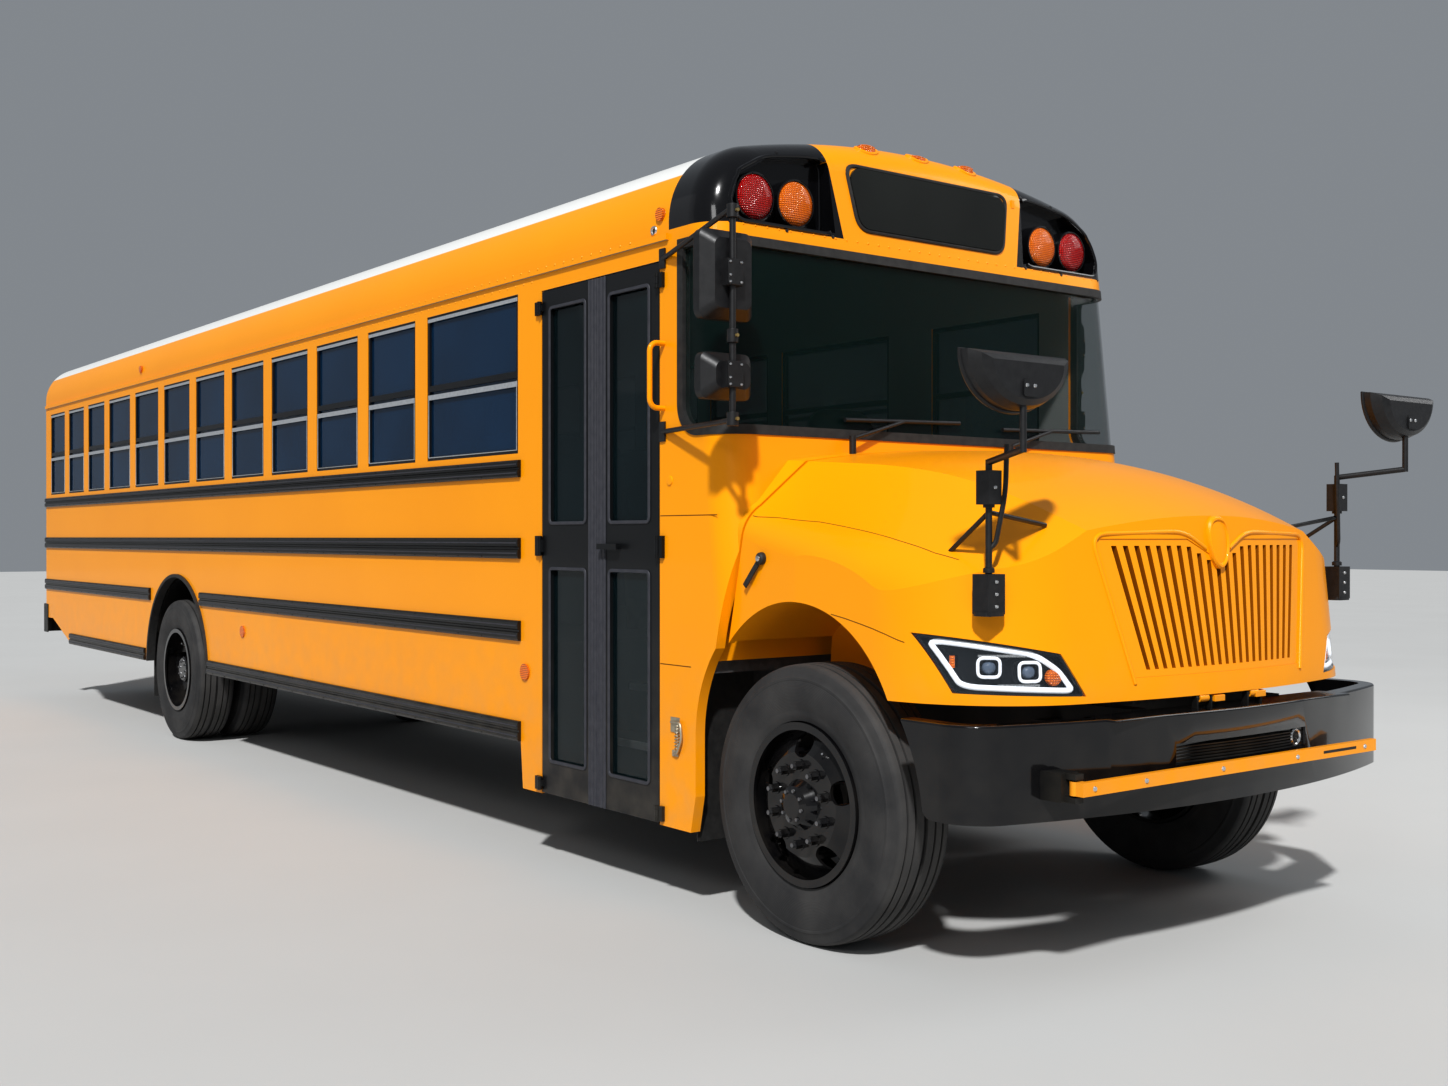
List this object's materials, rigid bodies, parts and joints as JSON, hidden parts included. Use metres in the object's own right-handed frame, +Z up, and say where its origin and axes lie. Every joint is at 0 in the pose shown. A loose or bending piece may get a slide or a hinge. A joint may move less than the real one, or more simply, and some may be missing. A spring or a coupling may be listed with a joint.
{
  "type": "school bus",
  "caption": "Conventional school bus with a hooded nose, tilting hood, two-leaf entry door, bench seats, crossing arm, stop arm, roof hatches and turning, steering wheels",
  "frame": {"origin": "bottom_center", "axes": "+X forward, +Y left, +Z up"},
  "size_m": [12.02, 2.91, 3.2113],
  "materials": {
    "yellow_paint": "gloss",
    "black_paint": "satin",
    "black_gloss": "gloss",
    "white_paint": "gloss",
    "galvanised": "satin",
    "cast_metal": "matte",
    "trim_plastic": "matte",
    "aluminium_frame": "satin",
    "bright_steel": "polished",
    "tyre_rubber": "matte",
    "seal_rubber": "matte",
    "tinted_glass": "gloss",
    "clear_glass": "gloss",
    "dark_glass": "gloss",
    "red_lens": "gloss",
    "amber_lens": "gloss",
    "seat_vinyl": "satin",
    "floor_rubber": "matte"
  },
  "bodies": {
    "body": {"right_wall": "yellow_paint", "left_wall": "yellow_paint", "roof": "yellow_paint", "front_cap": "yellow_paint", "lamp_housings": "black_paint", "rear_wall": "yellow_paint", "cowl": "yellow_paint", "windshield": "clear_glass", "window_frames": "trim_plastic", "window_glass": "tinted_glass", "rub_rails": "black_paint", "rubber_parts": "seal_rubber", "floor": "floor_rubber", "wheel_housings": "black_paint", "step_well": "floor_rubber", "front_bumper": "black_paint", "rear_bumper": "black_paint", "chassis_frame": "black_paint", "front_axle": "cast_metal", "rear_axle": "cast_metal", "leaf_springs": "cast_metal", "red_lamps": "red_lens", "amber_lamps": "amber_lens", "sign_window": "dark_glass", "side_mirrors": "trim_plastic", "wipers": "trim_plastic", "hinges": "black_paint", "seat_cushions": "seat_vinyl", "seat_backs": "seat_vinyl", "seat_frames": "galvanised", "driver_station": "trim_plastic", "handrails": "bright_steel", "powertrain": "cast_metal", "fuel_tank": "black_paint"},
    "hood": {"hood": "yellow_paint", "grille": "black_gloss", "headlamps": "clear_glass", "crossview_mirrors": "trim_plastic"},
    "door_front": {"door_front_leaf": "black_paint", "door_front_glass": "clear_glass"},
    "door_rear": {"door_rear_leaf": "black_paint", "door_rear_glass": "clear_glass"},
    "rear_door": {"rear_door": "yellow_paint", "rear_door_glass": "tinted_glass"},
    "knuckle_right": {"knuckle_right": "cast_metal"},
    "knuckle_left": {"knuckle_left": "cast_metal"},
    "tie_rod": {"tie_rod": "cast_metal"},
    "wheel_front_right": {"tyre_front_right": "tyre_rubber", "rim_front_right": "black_gloss"},
    "wheel_front_left": {"tyre_front_left": "tyre_rubber", "rim_front_left": "black_gloss"},
    "wheels_rear_right": {"tyres_rear_right": "tyre_rubber", "rims_rear_right": "black_gloss"},
    "wheels_rear_left": {"tyres_rear_left": "tyre_rubber", "rims_rear_left": "black_gloss"},
    "crossing_arm": {"crossing_arm": "yellow_paint"},
    "stop_arm": {"stop_arm": "red_lens"},
    "roof_hatch_front": {"roof_hatch_front": "white_paint"},
    "roof_hatch_rear": {"roof_hatch_rear": "white_paint"}
  },
  "joints": [
    {"name": "hood_tilt", "type": "hinge", "parent": "body", "child": "hood", "pos_m": [5.89, 0, 0.918], "axis": [0, 1, 0], "range_deg": [0, 55]},
    {"name": "door_front_swing", "type": "hinge", "parent": "body", "child": "door_front", "pos_m": [4.084, -1.212, 0.328], "axis": [0, 0, 1], "range_deg": [0, 90]},
    {"name": "door_rear_swing", "type": "hinge", "parent": "body", "child": "door_rear", "pos_m": [3.158, -1.212, 0.328], "axis": [0, 0, -1], "range_deg": [0, 90]},
    {"name": "rear_door_swing", "type": "hinge", "parent": "body", "child": "rear_door", "pos_m": [-5.967, -0.377, 1], "axis": [0, 0, 1], "range_deg": [0, 100]},
    {"name": "steer_right", "type": "hinge", "parent": "body", "child": "knuckle_right", "pos_m": [4.89, -0.9, 0.51], "axis": [0, 0, 1], "range_deg": [-35, 35]},
    {"name": "steer_left", "type": "hinge", "parent": "body", "child": "knuckle_left", "pos_m": [4.89, 0.9, 0.51], "axis": [0, 0, 1], "range_deg": [-35, 35]},
    {"name": "tie_rod_pivot", "type": "hinge", "parent": "knuckle_right", "child": "tie_rod", "pos_m": [4.715, -0.9, 0.3825], "axis": [0, 0, 1], "range_deg": [-35, 35]},
    {"name": "wheel_front_right_spin", "type": "hinge", "parent": "knuckle_right", "child": "wheel_front_right", "pos_m": [4.89, -1.01, 0.51], "axis": [0, 1, 0], "continuous": true},
    {"name": "wheel_front_left_spin", "type": "hinge", "parent": "knuckle_left", "child": "wheel_front_left", "pos_m": [4.89, 1.01, 0.51], "axis": [0, 1, 0], "continuous": true},
    {"name": "wheels_rear_right_spin", "type": "hinge", "parent": "body", "child": "wheels_rear_right", "pos_m": [-2.12, -0.89, 0.51], "axis": [0, 1, 0], "continuous": true},
    {"name": "wheels_rear_left_spin", "type": "hinge", "parent": "body", "child": "wheels_rear_left", "pos_m": [-2.12, 0.89, 0.51], "axis": [0, 1, 0], "continuous": true},
    {"name": "crossing_arm_swing", "type": "hinge", "parent": "body", "child": "crossing_arm", "pos_m": [5.968, -0.92, 0.69], "axis": [0, 0, -1], "range_deg": [0, 90]},
    {"name": "stop_arm_swing", "type": "hinge", "parent": "body", "child": "stop_arm", "pos_m": [2.805, 1.262, 1.6], "axis": [0, 0, -1], "range_deg": [0, 90]},
    {"name": "roof_hatch_front_lift", "type": "hinge", "parent": "body", "child": "roof_hatch_front", "pos_m": [0.934, 0, 3.189], "axis": [0, -1, 0], "range_deg": [0, 75]},
    {"name": "roof_hatch_rear_lift", "type": "hinge", "parent": "body", "child": "roof_hatch_rear", "pos_m": [-4.376, 0, 3.189], "axis": [0, -1, 0], "range_deg": [0, 75]}
  ],
  "couplings": [
    {"joint": "door_rear_swing", "follows": "door_front_swing", "ratio": 1},
    {"joint": "steer_left", "follows": "steer_right", "ratio": 1},
    {"joint": "tie_rod_pivot", "follows": "steer_right", "ratio": -1}
  ]
}
